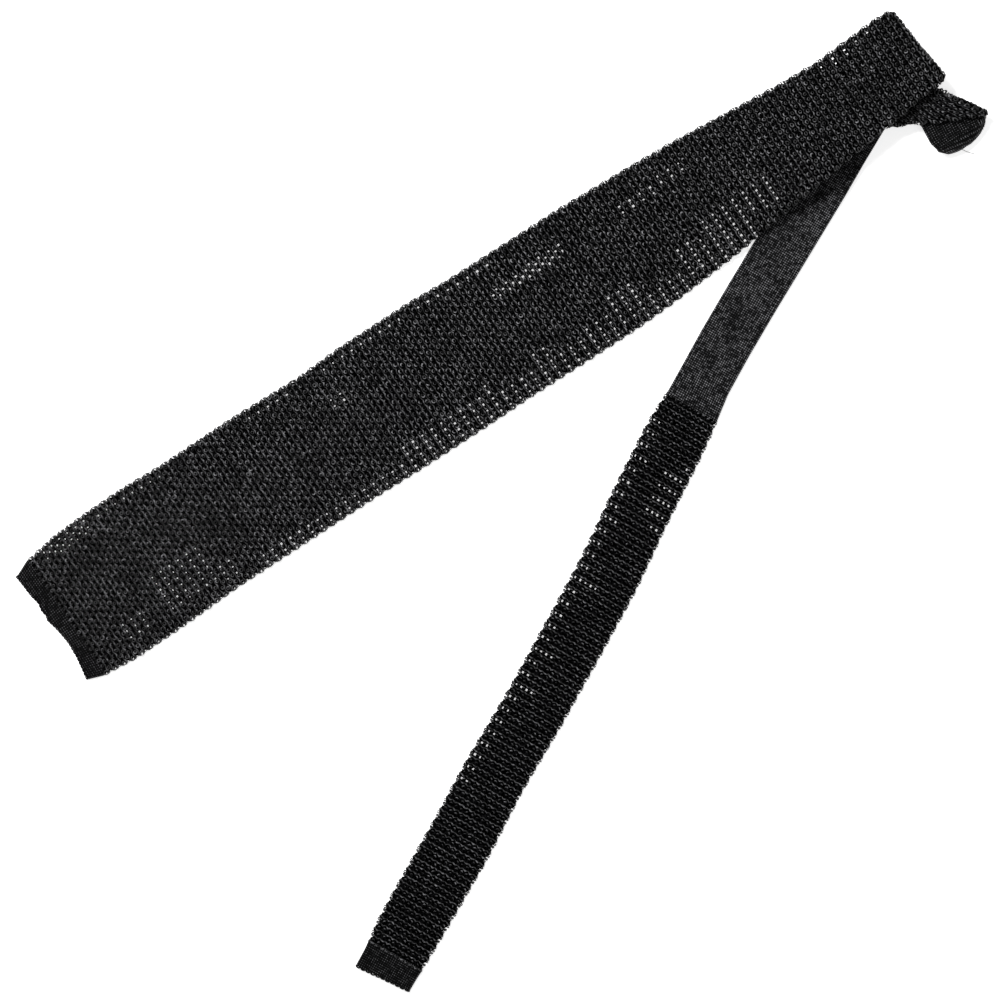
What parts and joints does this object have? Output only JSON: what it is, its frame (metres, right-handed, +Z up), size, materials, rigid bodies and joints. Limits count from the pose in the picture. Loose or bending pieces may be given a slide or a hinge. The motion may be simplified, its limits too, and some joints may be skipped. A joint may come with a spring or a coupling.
{
  "type": "knit tie",
  "caption": "Long knit necktie with a flat tube of openwork knit, lying flat with its blade on top, its neck end folded away beneath and a narrow tail running off to one side.",
  "frame": {"origin": "on the table, in the middle of the ground that the tie covers", "axes": "+Z up from the table, +X towards the folded neck end, +Y from the tail's end towards the folds"},
  "size_m": [0.5048, 0.5086, 0.0175],
  "materials": {
    "open_knit": "openwork knit of black silk yarn with a soft sheen",
    "close_knit": "fine close knit of the same black silk, more matte"
  },
  "bodies": {
    "root": {"front_hem": "close_knit", "front_blade": "open_knit", "neck_band": "close_knit", "tail_blade": "open_knit", "tail_hem": "close_knit"}
  },
  "joints": []
}
